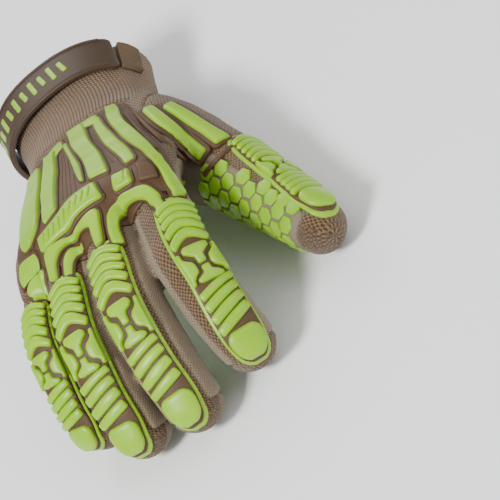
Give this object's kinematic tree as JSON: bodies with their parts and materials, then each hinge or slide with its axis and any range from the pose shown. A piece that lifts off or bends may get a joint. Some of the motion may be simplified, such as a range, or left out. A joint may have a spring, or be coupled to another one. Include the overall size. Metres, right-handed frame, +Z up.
{
  "type": "impact glove",
  "caption": "Right-hand impact work glove lying palm down, with moulded bright green armour over the back, fingers and thumb, a knitted cuff and a wrist strap.",
  "frame": {"origin": "on the floor under the heel of the palm, where the glove rests", "axes": "+Y from the wrist towards the fingertips, +X towards the little finger, +Z up through the back of the hand"},
  "size_m": [0.1498, 0.2181, 0.066],
  "materials": {
    "lime_armour": "satin moulded bright yellow-green rubber with brown grooves between its bars",
    "back_weave": "coarse brown woven cloth of the back, the finger tips and the bands beside the armour",
    "side_stretch": "fine matt grey-brown stretch cloth of the finger sides",
    "cuff_knit": "tan and brown mesh knit of the wrist",
    "palm_leather": "soft brown-grey synthetic leather under raised green six-sided grips",
    "strap_rubber": "dark brown moulded wrist strap with bare green marks",
    "tab_weave": "stitched dark brown webbing at the strap's end"
  },
  "bodies": {
    "root": {"index_back": "back_weave", "index_front": "palm_leather", "index_guard": "lime_armour", "middle_back": "back_weave", "middle_front": "palm_leather", "middle_guard": "lime_armour", "ring_back": "back_weave", "ring_front": "palm_leather", "ring_guard": "lime_armour", "little_back": "back_weave", "little_front": "palm_leather", "little_guard": "lime_armour", "index_outer_side": "side_stretch", "little_outer_side": "side_stretch", "index_middle_gusset": "side_stretch", "middle_ring_gusset": "side_stretch", "ring_little_gusset": "side_stretch", "thumb_back": "back_weave", "thumb_front": "palm_leather", "thumb_guard": "lime_armour", "hand_back": "back_weave", "palm": "palm_leather", "cuff": "cuff_knit", "wrist_strap": "strap_rubber", "strap_tab": "tab_weave", "radial_bar": "lime_armour", "window_plate": "lime_armour", "inner_window_plate": "lime_armour", "ulnar_bar": "lime_armour", "knuckle_bar": "lime_armour", "square_pad": "lime_armour", "index_middle_plate": "lime_armour", "middle_ring_plate": "lime_armour", "ring_little_plate": "lime_armour", "inner_saddle_bar": "lime_armour", "outer_saddle_bar": "lime_armour"}
  },
  "joints": []
}
